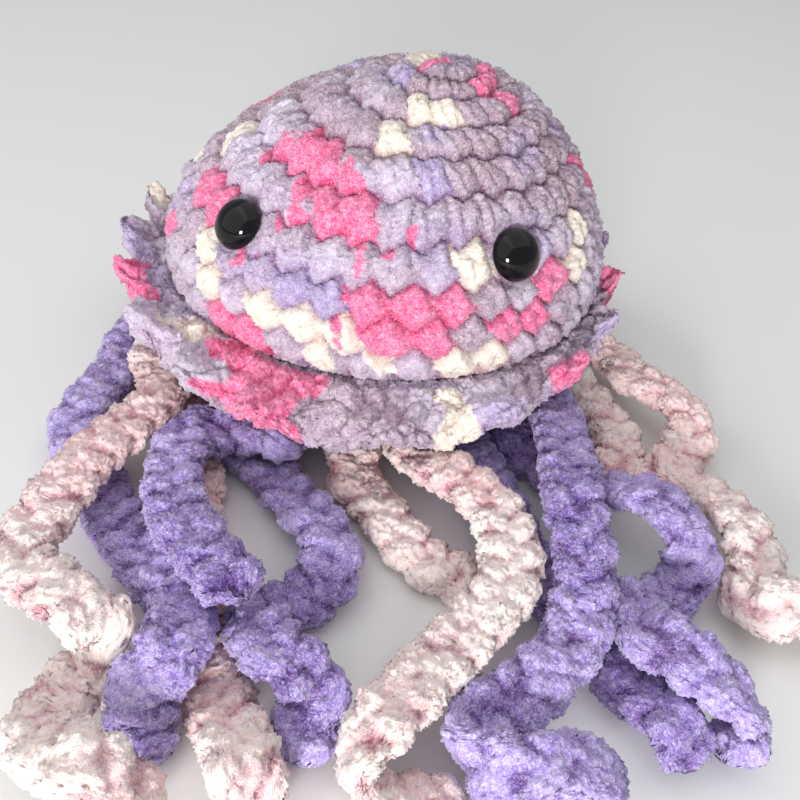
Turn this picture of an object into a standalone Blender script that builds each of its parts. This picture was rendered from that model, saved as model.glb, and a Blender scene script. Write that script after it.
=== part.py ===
# A crocheted plush jellyfish: a stuffed round head with two shiny eyes, a wavy frill around
# its brim, and curly ribbon tentacles that spread over the floor in front of it.
# Metres, +Z up, the face towards -Y, the underside's flat middle on the floor at z = 0.

import math

import bmesh
import bpy
import numpy as np
from mathutils import Matrix, Vector

MM = 0.001
# Points closer than this are one point
SAME_PLACE = 0.01 * MM

# Head: the widest ring, the crown and the brim
HEAD_RADIUS = 70 * MM
CROWN_HEIGHT = 57.8 * MM
CROWN_POWER = 1.67
WIDEST_Z = 40 * MM
BRIM_DROP = 8 * MM
BRIM_TUCK = 2 * MM
# The stuffing pushes the crown to the viewer's right, more and more towards the top
HEAD_LEAN = 14.4 * MM
COVER_WALL = 5.4 * MM
# The gap left at each seam
SEAM_GAP = 0.4 * MM

# Crochet: rounds from the brim up to the crown, with the stitches in each
STITCHES = (36, 36, 36, 36, 36, 30, 24, 18, 12, 6)
# Where each round begins, as a share of the way from the brim to the crown's middle
ROUND_EDGES = (0, 0.09, 0.18, 0.27, 0.38, 0.5, 0.62, 0.73, 0.83, 0.91, 1)
HEAD_STEPS = 72
BRIM_POINTS = 24
CROWN_POINTS = 240
GROOVE_DEPTH = 2.2 * MM
STITCH_RELIEF = 1.0 * MM
# How much of a bump lies inside the outline
BUMP_INSIDE = 0.6
# The shares of both that are left in the small rounds near the crown
CROWN_SHARE = 0.55
# How far up each round its rings of points lie, with fewer in the rounds near the crown
ROUND_LEVELS = (0, 0.3, 0.7)
CROWN_LEVELS = (0, 0.5)
CROWN_FROM = 6

# Underside
INNER_STEPS = 24
FLAT_RADIUS = 36 * MM
BASE_TOP_Z = WIDEST_Z - BRIM_DROP - SEAM_GAP
BASE_INSET = 3.4 * MM
BASE_OUTER_RADIUS = HEAD_RADIUS - BASE_INSET
BASE_WALL = 5 * MM
BASE_GROOVE = 0.9 * MM
BASE_ROUNDS = 3

# The inside of the cloth and the stuffing in it share these, so that the gap between them stays even
INSIDE_POINTS = 5
INSIDE_RINGS = 8

# Stuffing stands off the cloth by this much
STUFFING_GAP = 0.45 * MM
# The hollow's cutter reaches this far out of the open brim
HOLLOW_REACH = 6 * MM

# Eyes
EYE_RADIUS = 7.5 * MM
EYE_BULGE = 6.4 * MM
EYE_AZIMUTHS = {"left": -43, "right": 36.2}
EYE_HEIGHTS = {"left": 22.5 * MM, "right": 24.3 * MM}
EYE_SINK = 1.4 * MM
EYE_RIM = 0.7 * MM
EYE_STEPS = 16
DOME_POINTS = 6
POCKET_STEPS = 20
HOLE_STEPS = 12
POST_RADIUS = 2 * MM
POST_LENGTH = 12 * MM
WASHER_RADIUS = 6 * MM
WASHER_THICKNESS = 1.6 * MM
WASHER_DEPTH = 7.2 * MM
WASHER_ROOM = 0.6 * MM
FIT_GAP = 0.4 * MM
EYE_CUT = 14 * MM

# Frill: the middle of each lobe, in degrees around the brim from the front
FRILL_LOBES = (-161, -141, -120, -101, -84, -68, -51, -32, -17, 4, 29, 49, 66, 84, 104, 124, 144, 163, 181)
FRILL_STEPS = 108
# It is sewn on this far inside the head's widest ring and below the underside's top edge
FRILL_INSET = 2.9 * MM
FRILL_DROP = 4.5 * MM
FRILL_INNER_RADIUS = HEAD_RADIUS - FRILL_INSET
FRILL_INNER_Z = BASE_TOP_Z - FRILL_DROP
FRILL_WIDTH = 23.5 * MM
FRILL_DROOP = 0.5 * MM
# At the two sides it turns up against the head
FRILL_SIDE_RISE = 9 * MM
FRILL_SIDE_TUCK = 12 * MM
# It lies wider on the viewer's left than on the right
FRILL_SKEW = 4 * MM
FRILL_WAVE = 5 * MM
FRILL_SPREAD = 3.2 * MM
FRILL_THICKNESS = 8 * MM
FRILL_SCALLOP = 0.6 * MM
# Its cut: how far out each point lies, and how far above the middle of its thickness
FRILL_CUT = ((0, 0.98), (0.55, 1), (1, 0.55), (1, -0.55), (0.55, -1), (0, -0.8))
# Its waves grow towards the rim
FRILL_GROWTH = 2.4

# Tentacle ribbon
RIBBON_WIDTH = 16 * MM
RIBBON_THICKNESS = 8 * MM
RIBBON_SIDES = 8
RING_SPACING = 9.5 * MM
STITCH_LENGTH = 11 * MM
STITCH_SWELL = 0.06
# The ends are narrower, by these shares, and reach the full width over the taper's length
ROOT_TAPER = 0.72
TIP_TAPER = 0.7
TAPER_LENGTH = 16 * MM
# Between a rounded cut (1) and a square one (0)
RIBBON_ROUNDING = 0.75
# Bends tighter than this turn the ribbon to bend flatwise, and straighter runs lie flat
TURNING_RADIUS = 12 * MM
FLATNESS = 0.35
ROUTE_SAMPLES = 12
ROUTE_SMOOTHING = 10
FLOOR_GAP = 0.4 * MM

# Where each tentacle runs: (x, y, z) of the ribbon's middle in mm, from under the frill to the tip
PINK_ROUTES = {
    "pink_tentacle_1": (
        (-57.9, -21.1, 9), (-68, -41, 13), (-58, -63, 14), (-68, -94, 18), (-72, -118, 18),
        (-72, -133, 18), (-57, -144, 20), (-48, -147, 15), (-50, -151, 8), (-54, -159, 6),
        (-54, -172, 12), (-40, -181, 20), (-31, -183, 13), (-33, -187, 6),
    ),
    "pink_tentacle_2": (
        (-46.4, -36.2, 8), (-57, -56, 4.5), (-46, -78, 4.5), (-41, -102, 4.5), (-35, -125, 4.5),
        (-29, -141, 4.5), (-22, -155, 4.7), (-14, -170, 12.5), (-11, -176, 15), (-10, -179, 9),
        (-12, -184, 5),
    ),
    "pink_tentacle_3": (
        (-2.1, -59.4, 9), (0, -82, 4.5), (6, -88, 4.5), (18.5, -105, 4.5), (32, -113, 4.5), (41, -118, 4.5),
    ),
    "pink_tentacle_4": (
        (13.6, -58.7, 9), (15, -70, 11), (20, -80, 14.2), (31, -91, 17.5), (40, -105, 18.5), (42, -119, 17),
        (35, -133, 16), (24, -148, 15), (13, -163, 15), (10, -171, 10), (19, -175, 6), (34, -174, 5),
    ),
    "pink_tentacle_5": (
        (59.8, -14.9, 9), (74, -35, 4.5), (79, -48, 4.5), (78, -62, 4.5), (79, -74, 4.5),
    ),
    "pink_tentacle_6": (
        (62.2, 8.7, 9), (83, -15, 10), (84, -26, 13), (98, -38, 13), (101, -49, 11), (97, -57, 7),
        (92, -66, 7), (99, -74, 9), (107, -89, 12), (108, -102, 9), (104, -113, 8), (110, -118, 13),
        (126, -115, 8),
    ),
}
PURPLE_ROUTES = {
    "purple_tentacle_1": (
        (-60.5, -2.1, 9), (-80, -18, 5), (-79, -44, 5.5), (-82, -63, 8), (-80, -78, 8), (-72, -89, 5),
        (-60, -107, 7), (-46, -124, 13), (-34, -138, 14), (-32, -152, 18), (-36, -160, 13.5),
        (-36, -164, 6), (-35, -171, 5),
    ),
    "purple_tentacle_2": (
        (-35.4, -50.6, 9), (-33, -73, 4.5), (-28, -76, 4.5), (-18, -89, 6), (-7, -103, 9),
        (-2, -115, 10), (-6, -124, 6), (-14, -130, 5), (-17, -137, 10.3), (-11, -148, 16),
        (-5, -152, 16), (-1, -156, 10), (-4, -168, 6),
    ),
    "purple_tentacle_3": (
        (-19, -58.3, 9), (-21, -77, 15.7), (-23, -76, 16.2), (-36, -76, 15), (-46, -83, 17),
        (-46, -99, 18), (-39, -117, 20), (-28, -130, 21.5), (-19, -140, 22),
    ),
    "purple_tentacle_4": (
        (27.8, -52.3, 9), (35, -74, 5), (35, -67, 4.5), (42, -87, 4.5), (49, -105, 4.5),
        (60, -124, 4.5), (71, -143, 8), (78, -153, 12), (80, -160, 5),
    ),
    "purple_tentacle_5": (
        (41, -42.5, 8), (50, -62, 4.5), (54, -59, 4.5), (58, -71, 5), (68, -77, 8.5), (75, -85, 16),
        (82, -92, 20), (88, -103, 18), (88, -109, 9), (82, -113, 5), (75, -118, 9), (73, -132, 16),
        (79, -141, 20), (90, -147, 16), (94, -150, 10), (89, -156, 5),
    ),
    "purple_tentacle_6": (
        (55, -31.8, 10), (58, -54, 14.8), (58, -62, 16.3), (58, -81, 20), (57, -98, 23), (59, -111, 21),
        (59, -122, 19), (57, -133, 16), (49, -146, 15), (38, -156, 13), (32, -163, 11), (40, -171, 15),
        (53, -168, 16), (65, -168, 9),
    ),
}

PINK = (0.86, 0.62, 0.60, 1.0)
PURPLE = (0.33, 0.23, 0.62, 1.0)
LILAC = (0.49, 0.43, 0.62, 1.0)
WHITE = (0.85, 0.84, 0.80, 1.0)
BLACK = (0.01, 0.01, 0.012, 1.0)
YARN_ROUGHNESS = 0.9
EYE_ROUGHNESS = 0.08
WASHER_ROUGHNESS = 0.5


def clear_scene():
    for old in list(bpy.data.objects):
        bpy.data.objects.remove(old)


def new_collection(name):
    made = bpy.data.collections.new(name)
    bpy.context.scene.collection.children.link(made)
    return made


def new_material(name, colour, roughness):
    made = bpy.data.materials.new(name)
    made.use_nodes = True
    shader = made.node_tree.nodes["Principled BSDF"]
    shader.inputs["Base Color"].default_value = colour
    shader.inputs["Roughness"].default_value = roughness
    made.diffuse_color = colour
    return made


def new_object(name, mesh_maker, collection, material=None):
    data = bpy.data.meshes.new(name)
    mesh_maker.to_mesh(data)
    mesh_maker.free()
    made = bpy.data.objects.new(name, data)
    collection.objects.link(made)
    if material:
        data.materials.append(material)
        data.shade_smooth()
    return made


def new_cutter(name, mesh_maker, collection):
    made = new_object(name, mesh_maker, collection)
    made.hide_render = True
    made.display_type = "WIRE"
    return made


def cut(target, cutter):
    modifier = target.modifiers.new(cutter.name, "BOOLEAN")
    modifier.operation = "DIFFERENCE"
    modifier.solver = "EXACT"
    modifier.object = cutter


# A closed solid turned about Z from a profile of (radius, height) points
def turned(profile, steps):
    bm = bmesh.new()
    verts = [bm.verts.new((radius, 0, height)) for radius, height in profile]
    edges = [bm.edges.new(pair) for pair in zip(verts, verts[1:])]
    bmesh.ops.spin(
        bm,
        geom=verts + edges,
        axis=(0, 0, 1),
        angle=2 * math.pi,
        steps=steps,
        use_merge=True,
    )
    bmesh.ops.remove_doubles(bm, verts=bm.verts, dist=SAME_PLACE)
    bmesh.ops.recalc_face_normals(bm, faces=bm.faces)
    return bm


# Head outline from the brim to the crown, drawn in by inset
def head_outline(inset):
    radius = HEAD_RADIUS - inset
    height = CROWN_HEIGHT - inset
    drop = np.linspace(-1, 0, BRIM_POINTS)[:-1]
    angle = np.linspace(0, math.pi / 2, CROWN_POINTS)
    radii = np.concatenate([radius - BRIM_TUCK * drop**2, radius * np.cos(angle) ** (2 / CROWN_POWER)])
    heights = np.concatenate([BRIM_DROP * drop, height * np.sin(angle) ** (2 / CROWN_POWER)])
    return np.stack([radii, heights + WIDEST_Z], axis=1)


# Points along an outline, at the given places out of the last one
def evenly(outline, places):
    lengths = np.linalg.norm(np.diff(outline, axis=0), axis=1)
    along = np.concatenate([[0], np.cumsum(lengths)])
    wanted = along[-1] * np.array(places, float) / places[-1]
    return np.stack([np.interp(wanted, along, outline[:, k]) for k in (0, 1)], axis=1)


# How far the yarn stands out at a place on the head, where place counts rounds up from the brim
def head_relief(place, azimuth):
    row = min(int(place), len(STITCHES) - 1)
    bump = math.sin(math.pi * (place - row))
    stitch = math.cos(STITCHES[row] * azimuth + math.pi * (row % 2))
    share = CROWN_SHARE if row >= CROWN_FROM else 1
    return share * (GROOVE_DEPTH * (bump - BUMP_INSIDE) + STITCH_RELIEF * stitch * bump)


# How far sideways the head stands at a height
def lean_at(z):
    return HEAD_LEAN * (max(0, z - WIDEST_Z) / CROWN_HEIGHT) ** 2


def lean(bm):
    for vert in bm.verts:
        vert.co.x += lean_at(vert.co.z)


def build_head(collection, cutters, material):
    rows = len(STITCHES)
    places = [row + level for row in range(CROWN_FROM) for level in ROUND_LEVELS]
    places += [row + level for row in range(CROWN_FROM, rows) for level in CROWN_LEVELS] + [rows]
    outline = evenly(head_outline(0), np.interp(places, range(rows + 1), ROUND_EDGES))
    closed = np.concatenate([[(0, outline[0, 1])], outline])
    closed[-1, 0] = 0
    bm = turned([tuple(point) for point in closed], HEAD_STEPS)
    slopes = np.gradient(outline, axis=0)
    for vert in bm.verts:
        radius = math.hypot(vert.co.x, vert.co.y)
        if radius < SAME_PLACE:
            continue
        azimuth = math.atan2(vert.co.x, -vert.co.y)
        nearest = int(np.argmin(np.hypot(outline[:, 0] - radius, outline[:, 1] - vert.co.z)))
        side, rise = slopes[nearest] / np.linalg.norm(slopes[nearest])
        out = head_relief(places[nearest], azimuth) if nearest else 0
        flat = rise * out / radius
        vert.co += Vector((vert.co.x * flat, vert.co.y * flat, -side * out))
    lean(bm)
    head = new_object("head_cover", bm, collection, material)
    cavity = evenly(head_outline(COVER_WALL), range(INSIDE_RINGS))
    cavity[-1, 0] = 0
    floor = cavity[0, 1] - HOLLOW_REACH
    hollow = np.concatenate([[(0, floor), (cavity[0, 0], floor)], cavity])
    hollow = turned([tuple(point) for point in hollow], INNER_STEPS)
    lean(hollow)
    cut(head, new_cutter("head_hollow", hollow, cutters))
    return head


# Underside outline from its middle out to the brim, drawn in by inset
def base_outline(inset, points):
    angle = np.linspace(0, math.pi / 2, points)
    reach = BASE_OUTER_RADIUS - FLAT_RADIUS - inset
    depth = BASE_TOP_Z - inset
    radii = FLAT_RADIUS + reach * np.sin(angle)
    heights = BASE_TOP_Z - depth * np.cos(angle)
    return np.stack([radii, heights], axis=1)


def build_base(collection, material):
    outer = base_outline(0, 2 * BASE_ROUNDS + 1)
    for k in range(1, 2 * BASE_ROUNDS, 2):
        outer[k, 0] -= BASE_GROOVE
    inner = base_outline(BASE_WALL, INSIDE_POINTS)[::-1]
    profile = [(0, 0)] + [tuple(point) for point in outer] + [tuple(point) for point in inner]
    profile.append((0, inner[-1, 1]))
    return new_object("base", turned(profile, INNER_STEPS), collection, material)


def build_stuffing(collection, material):
    lower = base_outline(BASE_WALL + STUFFING_GAP, INSIDE_POINTS)
    upper = evenly(head_outline(COVER_WALL + STUFFING_GAP), range(INSIDE_RINGS))
    upper[-1, 0] = 0
    profile = [(0, lower[0, 1])] + [tuple(point) for point in lower]
    profile += [(lower[-1, 0], upper[0, 1])] + [tuple(point) for point in upper[1:]]
    bm = turned(profile, INNER_STEPS)
    lean(bm)
    return new_object("stuffing", bm, collection, material)


# The place on the head's outside where an eye sits, with its +Z pointing out of the head
def eye_seat(side):
    outline = head_outline(0)
    k = int(np.argmin(np.abs(outline[:, 1] - WIDEST_Z - EYE_HEIGHTS[side])))
    around = Matrix.Rotation(math.radians(EYE_AZIMUTHS[side]), 3, "Z")
    places = []
    for radius, height in outline[k - 1 : k + 2]:
        place = around @ Vector((0, -radius, height))
        place.x += lean_at(height)
        places.append(place)
    sideways = around @ Vector((1, 0, 0))
    outward = sideways.cross(places[2] - places[0]).normalized()
    facing = Matrix((sideways, outward.cross(sideways), outward)).transposed()
    return Matrix.Translation(places[1]) @ facing.to_4x4()


def cylinder(radius, low, high, segments):
    bm = bmesh.new()
    bmesh.ops.create_cone(
        bm,
        cap_ends=True,
        segments=segments,
        radius1=radius,
        radius2=radius,
        depth=high - low,
        matrix=Matrix.Translation((0, 0, (low + high) / 2)),
    )
    return bm


def build_eye(side, collection, cutters, head, stuffing, materials):
    seat = eye_seat(side)
    angle = np.linspace(0, math.pi / 2, DOME_POINTS)[1:]
    profile = [(0, -POST_LENGTH), (POST_RADIUS, -POST_LENGTH), (POST_RADIUS, 0), (EYE_RADIUS - EYE_RIM, 0)]
    profile.append((EYE_RADIUS, EYE_RIM))
    for a in angle:
        radius = EYE_RADIUS * math.cos(a)
        height = EYE_RIM + (EYE_BULGE - EYE_RIM) * math.sin(a)
        profile.append((radius if a < angle[-1] else 0, height))
    eye = new_object(side + "_eye", turned(profile, EYE_STEPS), collection, materials["eye"])
    eye.matrix_world = seat @ Matrix.Translation((0, 0, -EYE_SINK))

    hole = POST_RADIUS + FIT_GAP
    washer_profile = [(hole, 0), (WASHER_RADIUS, 0), (WASHER_RADIUS, WASHER_THICKNESS)]
    washer_profile += [(hole, WASHER_THICKNESS), (hole, 0)]
    washer_maker = turned(washer_profile, EYE_STEPS)
    washer = new_object(side + "_eye_washer", washer_maker, collection, materials["washer"])
    washer.matrix_world = seat @ Matrix.Translation((0, 0, -WASHER_DEPTH - WASHER_THICKNESS))

    pocket_maker = cylinder(EYE_RADIUS + FIT_GAP, 0, EYE_CUT, POCKET_STEPS)
    pocket = new_cutter(side + "_eye_pocket", pocket_maker, cutters)
    pocket.matrix_world = seat @ Matrix.Translation((0, 0, -EYE_SINK - FIT_GAP))
    cut(head, pocket)
    bore = new_cutter(side + "_post_hole", cylinder(hole, -EYE_CUT, EYE_SINK, HOLE_STEPS), cutters)
    bore.matrix_world = seat @ Matrix.Translation((0, 0, -EYE_SINK))
    cut(head, bore)
    room_maker = cylinder(WASHER_RADIUS + WASHER_ROOM, -EYE_CUT, EYE_CUT, EYE_STEPS)
    room = new_cutter(side + "_washer_room", room_maker, cutters)
    room.matrix_world = seat @ Matrix.Translation((0, 0, -WASHER_DEPTH))
    cut(stuffing, room)


# 1 in the middle of a lobe and -1 in the fold between two
def frill_wave(azimuth_degrees):
    lobes = np.array(FRILL_LOBES, float)
    lobes = np.concatenate([lobes - 360, lobes, lobes + 360])
    k = int(np.searchsorted(lobes, azimuth_degrees, side="right")) - 1
    share = (azimuth_degrees - lobes[k]) / (lobes[k + 1] - lobes[k])
    return math.cos(2 * math.pi * share)


# One cut across the frill, as (radius, height) points around it
def frill_section(azimuth_degrees, scallop):
    wave = frill_wave(azimuth_degrees)
    aside = math.sin(math.radians(azimuth_degrees)) ** 2
    half = FRILL_THICKNESS / 2
    width = FRILL_WIDTH + FRILL_SPREAD * wave + scallop - FRILL_SIDE_TUCK * aside
    width -= FRILL_SKEW * math.sin(math.radians(azimuth_degrees))
    section = []
    for share, rise in FRILL_CUT:
        lift = (FRILL_WAVE * wave + FRILL_SIDE_RISE * aside) * share**FRILL_GROWTH - FRILL_DROOP * share
        section.append((FRILL_INNER_RADIUS + width * share, FRILL_INNER_Z + lift + half * rise))
    return section


def build_frill(collection, material):
    bm = bmesh.new()
    rings = []
    for step in range(FRILL_STEPS):
        degrees = 360 * step / FRILL_STEPS - 180
        turn = math.radians(degrees)
        scallop = FRILL_SCALLOP * (1 if step % 2 else -1)
        ring = []
        for radius, height in frill_section(degrees, scallop):
            ring.append(bm.verts.new((radius * math.sin(turn), -radius * math.cos(turn), height)))
        rings.append([bm.edges.new(pair) for pair in zip(ring, ring[1:] + ring[:1])])
    for first, second in zip(rings, rings[1:] + rings[:1]):
        bmesh.ops.bridge_loops(bm, edges=first + second)
    bmesh.ops.recalc_face_normals(bm, faces=bm.faces)
    return new_object("frill", bm, collection, material)


# A smooth line through the route's points, sampled evenly
def smooth_line(route, spacing):
    points = np.array(route, float) * MM
    padded = np.concatenate([[2 * points[0] - points[1]], points, [2 * points[-1] - points[-2]]])
    line = []
    for before, start, end, after in zip(padded, padded[1:], padded[2:], padded[3:]):
        for t in np.linspace(0, 1, ROUTE_SAMPLES, endpoint=False):
            line.append(
                0.5
                * (
                    2 * start
                    + (end - before) * t
                    + (2 * before - 5 * start + 4 * end - after) * t**2
                    + (3 * start - before - 3 * end + after) * t**3
                )
            )
    line = np.array(line + [points[-1]])
    for _ in range(ROUTE_SMOOTHING):
        line[1:-1] = (line[:-2] + 2 * line[1:-1] + line[2:]) / 4
    along = np.concatenate([[0], np.cumsum(np.linalg.norm(np.diff(line, axis=0), axis=1))])
    wanted = np.linspace(0, along[-1], max(4, round(along[-1] / spacing) + 1))
    return np.stack([np.interp(wanted, along, line[:, k]) for k in range(3)], axis=1), wanted


# The ribbon's thin way at each point: it bends flatwise, and lies flat where it runs straight
def thin_ways(line):
    ahead = np.gradient(line, axis=0)
    ahead /= np.linalg.norm(ahead, axis=1)[:, None]
    step = np.linalg.norm(line[1] - line[0])
    bend = np.gradient(ahead, axis=0) / step
    tensors = bend[:, :, None] * bend[:, None, :] * TURNING_RADIUS**2
    tensors += FLATNESS * np.outer((0, 0, 1), (0, 0, 1))
    for _ in range(2):
        padded = np.concatenate([tensors[:1], tensors, tensors[-1:]])
        tensors = (padded[:-2] + 2 * padded[1:-1] + padded[2:]) / 4
    ways = []
    for tangent, tensor in zip(ahead, tensors):
        across = np.eye(3) - np.outer(tangent, tangent)
        values, vectors = np.linalg.eigh(across @ tensor @ across)
        way = vectors[:, 2]
        if ways and way @ ways[-1] < 0:
            way = -way
        ways.append(way)
    return ahead, np.array(ways)


def ribbon_rings(route):
    line, along = smooth_line(route, RING_SPACING)
    ahead, thin = thin_ways(line)
    rings = []
    for k, (centre, tangent, way) in enumerate(zip(line, ahead, thin)):
        wide = np.cross(tangent, way)
        swell = 1 + STITCH_SWELL * math.cos(2 * math.pi * along[k] / STITCH_LENGTH)
        start = min(1, ROOT_TAPER + along[k] / TAPER_LENGTH)
        end = min(1, TIP_TAPER + (along[-1] - along[k]) / TAPER_LENGTH)
        ring = []
        for side in range(RIBBON_SIDES):
            angle = 2 * math.pi * (side + 0.5) / RIBBON_SIDES
            x = math.cos(angle)
            y = math.sin(angle)
            x = math.copysign(abs(x) ** RIBBON_ROUNDING, x) * RIBBON_WIDTH / 2 * swell * start * end
            y = math.copysign(abs(y) ** RIBBON_ROUNDING, y) * RIBBON_THICKNESS / 2 * min(start, end) ** 0.5
            ring.append(centre + wide * x + way * y)
        ring = np.array(ring)
        ring[:, 2] += max(0, FLOOR_GAP - ring[:, 2].min())
        rings.append(ring)
    return rings


def build_ribbon(name, route, collection, material):
    bm = bmesh.new()
    loops = []
    for ring in ribbon_rings(route):
        verts = [bm.verts.new(point) for point in ring]
        loops.append([bm.edges.new(pair) for pair in zip(verts, verts[1:] + verts[:1])])
    for first, second in zip(loops, loops[1:]):
        bmesh.ops.bridge_loops(bm, edges=first + second)
    bmesh.ops.contextual_create(bm, geom=loops[0])
    bmesh.ops.contextual_create(bm, geom=loops[-1])
    bmesh.ops.recalc_face_normals(bm, faces=bm.faces)
    return new_object(name, bm, collection, material)


def main():
    clear_scene()
    jellyfish = new_collection("plush_jellyfish")
    cutters = new_collection("cutters")
    head_yarn = new_material("head_yarn", LILAC, YARN_ROUGHNESS)
    base_yarn = new_material("base_yarn", LILAC, YARN_ROUGHNESS)
    frill_yarn = new_material("frill_yarn", LILAC, YARN_ROUGHNESS)
    filling = new_material("filling", WHITE, YARN_ROUGHNESS)
    head = build_head(jellyfish, cutters, head_yarn)
    build_base(jellyfish, base_yarn)
    stuffing = build_stuffing(jellyfish, filling)
    for side in EYE_AZIMUTHS:
        materials = {
            "eye": new_material(side + "_eye_plastic", BLACK, EYE_ROUGHNESS),
            "washer": new_material(side + "_washer_plastic", WHITE, WASHER_ROUGHNESS),
        }
        build_eye(side, jellyfish, cutters, head, stuffing, materials)
    build_frill(jellyfish, frill_yarn)
    for colour, routes in ((PINK, PINK_ROUTES), (PURPLE, PURPLE_ROUTES)):
        for name, route in routes.items():
            build_ribbon(name, route, jellyfish, new_material(name + "_yarn", colour, YARN_ROUGHNESS))


main()
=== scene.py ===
import math

import bmesh
import bpy
import numpy as np
from mathutils import Matrix, Vector


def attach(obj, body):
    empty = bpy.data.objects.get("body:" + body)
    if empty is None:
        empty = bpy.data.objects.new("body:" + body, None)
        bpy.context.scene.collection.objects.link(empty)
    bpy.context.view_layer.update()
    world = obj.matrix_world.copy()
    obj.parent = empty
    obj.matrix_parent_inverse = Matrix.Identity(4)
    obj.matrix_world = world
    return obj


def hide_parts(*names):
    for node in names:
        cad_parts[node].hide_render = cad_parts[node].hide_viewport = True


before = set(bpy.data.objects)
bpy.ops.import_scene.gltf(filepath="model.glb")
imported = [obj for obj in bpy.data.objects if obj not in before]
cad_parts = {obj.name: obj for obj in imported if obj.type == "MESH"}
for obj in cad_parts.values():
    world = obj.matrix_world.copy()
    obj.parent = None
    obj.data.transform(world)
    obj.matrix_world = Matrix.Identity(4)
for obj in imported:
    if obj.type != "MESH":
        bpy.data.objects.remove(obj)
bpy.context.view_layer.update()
mm = 0.001


def linear(red, green, blue):  # a colour as a screen shows it, 0 to 255, made linear
    parts = np.array((red, green, blue)) / 255
    return np.where(parts < 0.04045, parts / 12.92, ((parts + 0.055) / 1.055) ** 2.4)


yarns = {
    "lavender": linear(206, 187, 206),
    "greyLilac": linear(190, 167, 180),
    "paleLilac": linear(224, 211, 230),
    "violet": linear(194, 176, 214),
    "hotPink": linear(248, 136, 178),
    "cream": linear(252, 240, 226),
    "blush": linear(255, 240, 234),
    "rose": linear(250, 207, 207),
    "purple": linear(150, 126, 188),
    "lightPurple": linear(194, 176, 228),
}


class Flow:  # a shader socket that takes plain sums
    def __init__(self, tree, socket):
        self.tree = tree
        self.socket = socket

    def node(self, kind, settings=None, **inputs):
        made = self.tree.nodes.new(kind)
        for key, value in (settings or {}).items():
            setattr(made, key, value)
        for key, value in inputs.items():
            numbered = key[0] == "n" and key[1:].isdigit()
            slot = made.inputs[int(key[1:]) if numbered else key.replace("_", " ")]
            if isinstance(value, Flow):
                self.tree.links.new(value.socket, slot)
            else:
                slot.default_value = value
        return made

    def noise(self, scale, detail):
        made = self.node("ShaderNodeTexNoise", None, Vector=self, Scale=scale, Detail=detail)
        return Flow(self.tree, made.outputs[0])

    def math(self, operation, first, second):
        made = self.node("ShaderNodeMath", {"operation": operation}, n0=first, n1=second)
        return Flow(self.tree, made.outputs[0])

    def __add__(self, other):
        return self.math("ADD", self, other)

    def __radd__(self, other):
        return self.math("ADD", other, self)

    def __mul__(self, other):
        return self.math("MULTIPLY", self, other)

    def __rmul__(self, other):
        return self.math("MULTIPLY", other, self)

    def __sub__(self, other):
        return self.math("SUBTRACT", self, other)

    def __rsub__(self, other):
        return self.math("SUBTRACT", other, self)


def newMaterial(name):
    made = bpy.data.materials.new(name)
    made.use_nodes = True
    tree = made.node_tree
    shader = tree.nodes["Principled BSDF"]
    place = Flow(tree, tree.nodes.new("ShaderNodeTexCoord").outputs["Object"])
    return made, tree, shader, place


chenilleLook = {
    "roughness": 0.95,
    "specular": 0.2,
    "sheen": 0.3,
    "sheenRoughness": 0.5,
    "tuft": 1000.0,
    "fibre": 2600.0,
    "tuftDepth": 0.5,
    "fibreShadeDepth": 1.0,
    "bump": 0.5,
    "bumpHeight": 0.4 * mm,
}


def chenille(name):  # soft pile, coloured by the piece's own yarn attribute, which carries painted shade and highlights
    made, tree, shader, place = newMaterial(name)
    look = chenilleLook
    yarnAndPaintedShade = place.node("ShaderNodeAttribute", {"attribute_name": "yarnAndPaintedShade"})
    tufts = place.noise(look["tuft"], 1.0)
    fibres = place.noise(look["fibre"], 1.0)
    # Painted shade: the colour deepens where the bump's tufts and fibres are low, and pales where they are
    # high
    depth = 1 - (tufts - 0.5) * (2 * look["tuftDepth"]) - (fibres - 0.5) * (2 * look["fibreShadeDepth"])
    plain = Flow(tree, yarnAndPaintedShade.outputs["Color"])
    fibreShaded = place.node("ShaderNodeGamma", None, Color=plain, Gamma=depth)
    tree.links.new(fibreShaded.outputs[0], shader.inputs["Base Color"])
    relief = tufts + fibres
    bump = place.node(
        "ShaderNodeBump", None, Strength=look["bump"], Distance=look["bumpHeight"], Height=relief
    )
    tree.links.new(bump.outputs[0], shader.inputs["Normal"])
    shader.inputs["Roughness"].default_value = look["roughness"]
    shader.inputs["Specular IOR Level"].default_value = look["specular"]
    shader.inputs["Sheen Weight"].default_value = look["sheen"]
    shader.inputs["Sheen Roughness"].default_value = look["sheenRoughness"]
    return made


def gloss(name, colour, roughness):
    made, tree, shader, place = newMaterial(name)
    haze = place.noise(160.0, 2.0)
    tree.links.new((roughness + haze * 0.04).socket, shader.inputs["Roughness"])
    shader.inputs["Base Color"].default_value = (*colour, 1)
    shader.inputs["Specular IOR Level"].default_value = 0.35
    return made


def softNoise(places, size, seed):  # smooth noise from -1 to 1, with lumps of the given size
    table = np.random.default_rng(seed).uniform(-1, 1, (32, 32, 32))
    at = places / size + 100
    low = np.floor(at).astype(int)
    share = at - low
    share = share * share * (3 - 2 * share)
    total = np.zeros(len(places))
    for corner in range(8):
        step = np.array((corner & 1, corner >> 1 & 1, corner >> 2))
        x, y, z = ((low + step) % 32).T
        total += np.prod(np.where(step, share, 1 - share), axis=1) * table[x, y, z]
    return total * 1.6


def placesOf(verts):
    return np.array([vert.co for vert in verts])


def normalsOf(bm, verts):
    bm.normal_update()
    return np.array([vert.normal for vert in verts])


def moveTo(verts, places):
    for vert, place in zip(verts, places):
        vert.co = place


def dome(share, power):  # 0 at both ends of 0 to 1 and 1 in the middle, flatter for a higher power
    return 1 - np.abs(2 * share - 1) ** power


def atBearing(azimuth, radius, height):  # places around the upright axis, 0 being the front
    return np.stack([radius * np.sin(azimuth), -radius * np.cos(azimuth), height], axis=1)


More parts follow.
